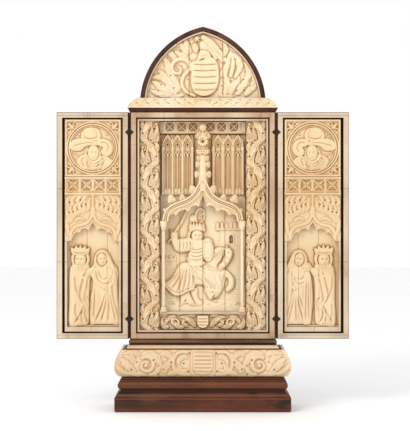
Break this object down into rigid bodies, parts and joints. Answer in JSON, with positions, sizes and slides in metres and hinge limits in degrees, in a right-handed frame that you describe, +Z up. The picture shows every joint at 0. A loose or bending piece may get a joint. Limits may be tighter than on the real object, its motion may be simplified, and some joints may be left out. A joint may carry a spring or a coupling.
{
  "type": "tabletop altarpiece",
  "caption": "Tabletop triptych altarpiece: wooden case faced with carved bone reliefs, hinged wings, moulded base and pointed arch on top.",
  "frame": {"origin": "under the middle of the base, at its lowest face", "axes": "+Z up, the carved front looks along -Y, +X to the right as seen from the front"},
  "size_m": [0.468, 0.1026, 0.6121],
  "materials": {
    "wood": "dark brown waxed wood, worn at the edges",
    "bone": "polished carved bone, cream, browned in the hollows",
    "iron": "dark forged iron"
  },
  "bodies": {
    "case": {"arch_board": "wood", "arch_fillet": "bone", "arch_rim": "wood", "base_cap": "wood", "base_core": "wood", "base_fillet": "bone", "canopy": "bone", "case_back": "wood", "case_bottom": "wood", "case_fillet": "bone", "case_rail_bottom": "bone", "case_rail_top": "bone", "case_side_left": "wood", "case_side_right": "wood", "case_stile_left": "bone", "case_stile_right": "bone", "case_top": "wood", "cheek_left": "wood", "cheek_right": "wood", "colonnette_left": "bone", "colonnette_right": "bone", "cornice_core": "wood", "cornice_front": "bone", "cornice_left": "bone", "cornice_right": "bone", "frieze_front": "bone", "frieze_left": "bone", "frieze_right": "bone", "lunette_left": "bone", "lunette_middle": "bone", "lunette_right": "bone", "plinth": "wood", "scene_plaque_1": "bone", "scene_plaque_2": "bone", "scene_plaque_3": "bone", "scene_plaque_4": "bone", "scroll_frieze": "bone", "sill": "bone", "vine_left": "bone", "vine_right": "bone", "windows": "bone", "wing_left_hinge_high_case_leaf": "iron", "wing_left_hinge_low_case_leaf": "iron", "wing_right_hinge_high_case_leaf": "iron", "wing_right_hinge_low_case_leaf": "iron"},
    "wing_left": {"wing_left_board": "wood", "wing_left_canopy": "bone", "wing_left_frame": "bone", "wing_left_hinge_high_wing_leaf": "iron", "wing_left_hinge_low_wing_leaf": "iron", "wing_left_medallion": "bone", "wing_left_niche": "bone"},
    "wing_right": {"wing_right_board": "wood", "wing_right_canopy": "bone", "wing_right_frame": "bone", "wing_right_hinge_high_wing_leaf": "iron", "wing_right_hinge_low_wing_leaf": "iron", "wing_right_medallion": "bone", "wing_right_niche": "bone"}
  },
  "joints": [
    {"name": "wing_left_hinge", "type": "hinge", "parent": "case", "child": "wing_left", "pos_m": [-0.1175, -0.0028, 0.2922], "axis": [0, 0, 1], "range_deg": [0, 180]},
    {"name": "wing_right_hinge", "type": "hinge", "parent": "case", "child": "wing_right", "pos_m": [0.1175, -0.0028, 0.2922], "axis": [0, 0, -1], "range_deg": [0, 180]}
  ]
}
